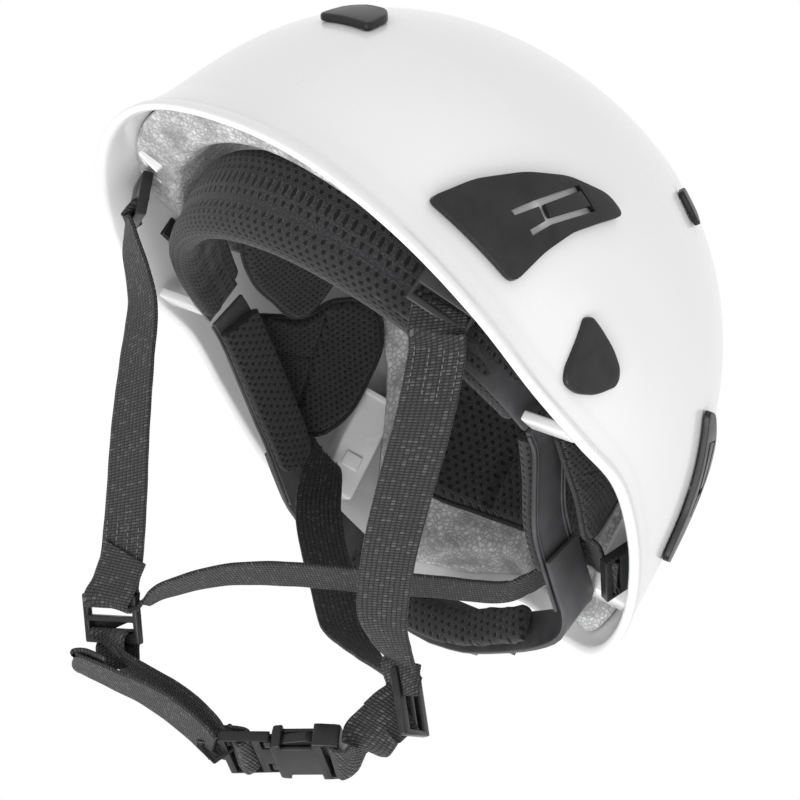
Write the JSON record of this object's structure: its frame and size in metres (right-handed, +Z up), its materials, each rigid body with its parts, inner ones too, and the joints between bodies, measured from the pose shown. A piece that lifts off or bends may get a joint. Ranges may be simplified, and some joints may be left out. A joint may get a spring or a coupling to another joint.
{
  "type": "climbing helmet",
  "caption": "Climbing and work-at-height helmet: hard white shell over a foam liner, padded adjustable headband, lamp clips, side accessory slots and webbing chin harness with buckle.",
  "frame": {"origin": "centre of the opening where the wearer's head sits, on the helmet's middle plane at headband height", "axes": "+Z up to the crown, +X to the wearer's left, -Y the way the wearer faces"},
  "size_m": [0.2244, 0.2979, 0.2952],
  "materials": {
    "shell_white": "gloss",
    "bead_foam": "matte",
    "mesh_fabric": "matte",
    "webbing": "matte",
    "black_plastic": "satin",
    "buckle_plastic": "satin",
    "band_plastic": "satin"
  },
  "bodies": {
    "helmet": {"band_pad_left": "mesh_fabric", "band_pad_right": "mesh_fabric", "buckle_female": "buckle_plastic", "chin_strap_left": "webbing", "chin_strap_right": "webbing", "chin_tail": "webbing", "crown_cover_left": "black_plastic", "crown_cover_right": "black_plastic", "foam_liner": "bead_foam", "forehead_pad": "mesh_fabric", "front_cover": "black_plastic", "headband_front": "band_plastic", "headband_hanger_left": "band_plastic", "headband_hanger_right": "band_plastic", "lamp_clip_front_left": "black_plastic", "lamp_clip_front_right": "black_plastic", "lamp_clip_rear_left": "black_plastic", "lamp_clip_rear_right": "black_plastic", "rear_pad": "mesh_fabric", "shell": "shell_white", "side_band_left": "band_plastic", "side_band_right": "band_plastic", "side_pad_left": "mesh_fabric", "side_pad_right": "mesh_fabric", "strap_anchor_front_left": "buckle_plastic", "strap_anchor_front_right": "buckle_plastic", "strap_anchor_rear_left": "buckle_plastic", "strap_anchor_rear_right": "buckle_plastic", "strap_divider_left": "buckle_plastic", "strap_divider_right": "buckle_plastic", "strap_front_left": "webbing", "strap_front_right": "webbing", "strap_rear_left": "webbing", "strap_rear_right": "webbing", "temple_pad_left": "mesh_fabric", "temple_pad_right": "mesh_fabric"},
    "tongue_front_left": {"clip_tongue_front_left": "black_plastic"},
    "tongue_front_right": {"clip_tongue_front_right": "black_plastic"},
    "tongue_rear_left": {"clip_tongue_rear_left": "black_plastic"},
    "tongue_rear_right": {"clip_tongue_rear_right": "black_plastic"},
    "plug_left": {"slot_plug_left": "black_plastic"},
    "plug_right": {"slot_plug_right": "black_plastic"},
    "buckle_half": {"buckle_male": "buckle_plastic"},
    "prong_front": {"buckle_prong_front": "buckle_plastic"},
    "prong_rear": {"buckle_prong_rear": "buckle_plastic"},
    "nape": {"nape_cradle": "band_plastic", "nape_pad": "mesh_fabric", "adjuster_housing": "band_plastic"},
    "knob": {"adjuster_knob": "band_plastic", "adjuster_pinion": "band_plastic"},
    "rack_left": {"adjuster_rack_left": "band_plastic"},
    "rack_right": {"adjuster_rack_right": "band_plastic"}
  },
  "joints": [
    {"name": "clip_front_left", "type": "hinge", "parent": "helmet", "child": "tongue_front_left", "pos_m": [0.09015, -0.04492, 0.06486], "axis": [-0.5377, -0.6692, 0.5129], "range_deg": [0, 6], "stiffness_Nm_per_rad": 0.6},
    {"name": "clip_front_right", "type": "hinge", "parent": "helmet", "child": "tongue_front_right", "pos_m": [-0.09015, -0.04492, 0.06486], "axis": [-0.5377, 0.6692, -0.5129], "range_deg": [0, 6], "stiffness_Nm_per_rad": 0.6},
    {"name": "clip_rear_left", "type": "hinge", "parent": "helmet", "child": "tongue_rear_left", "pos_m": [0.10159, 0.07884, 0.02701], "axis": [0.4319, -0.7775, -0.4571], "range_deg": [0, 6], "stiffness_Nm_per_rad": 0.6},
    {"name": "clip_rear_right", "type": "hinge", "parent": "helmet", "child": "tongue_rear_right", "pos_m": [-0.10159, 0.07884, 0.02701], "axis": [0.4319, 0.7775, 0.4571], "range_deg": [0, 6], "stiffness_Nm_per_rad": 0.6},
    {"name": "slot_plug_pull_left", "type": "slide", "parent": "helmet", "child": "plug_left", "axis": [1, 0, 0], "range_m": [0, 0.012]},
    {"name": "slot_plug_pull_right", "type": "slide", "parent": "helmet", "child": "plug_right", "axis": [-1, 0, 0], "range_m": [0, 0.012]},
    {"name": "buckle_pull", "type": "slide", "parent": "helmet", "child": "buckle_half", "axis": [-0.8421, -0.316, -0.437], "range_m": [0, 0.022], "deforming": ["chin_strap_right", "chin_tail"]},
    {"name": "prong_squeeze_front", "type": "hinge", "parent": "buckle_half", "child": "prong_front", "pos_m": [0.02608, 0.01494, -0.14899], "axis": [-0.5135, 0.2222, 0.8288], "range_deg": [0, 14], "stiffness_Nm_per_rad": 0.05},
    {"name": "prong_squeeze_rear", "type": "hinge", "parent": "buckle_half", "child": "prong_rear", "pos_m": [0.02357, 0.02896, -0.1543], "axis": [0.5135, -0.2222, -0.8288], "range_deg": [0, 14], "stiffness_Nm_per_rad": 0.05},
    {"name": "knob_turn", "type": "hinge", "parent": "nape", "child": "knob", "pos_m": [0, 0.1252, -0.0735], "axis": [0, 0, -1], "range_deg": [0, 114.59]},
    {"name": "nape_slide", "type": "slide", "parent": "helmet", "child": "nape", "axis": [0, 0.8894, -0.4572], "range_m": [0, 0.012]},
    {"name": "rack_left_slide", "type": "slide", "parent": "nape", "child": "rack_left", "axis": [1, 0, 0], "range_m": [0, 0.012]},
    {"name": "rack_right_slide", "type": "slide", "parent": "nape", "child": "rack_right", "axis": [-1, 0, 0], "range_m": [0, 0.012]}
  ],
  "couplings": [
    {"joint": "prong_squeeze_front", "follows": "buckle_pull", "rad_per_m": 11.107},
    {"joint": "prong_squeeze_rear", "follows": "buckle_pull", "rad_per_m": 11.107},
    {"joint": "knob_turn", "follows": "nape_slide", "rad_per_m": 166.66},
    {"joint": "rack_left_slide", "follows": "nape_slide", "ratio": 1},
    {"joint": "rack_right_slide", "follows": "nape_slide", "ratio": 1}
  ]
}
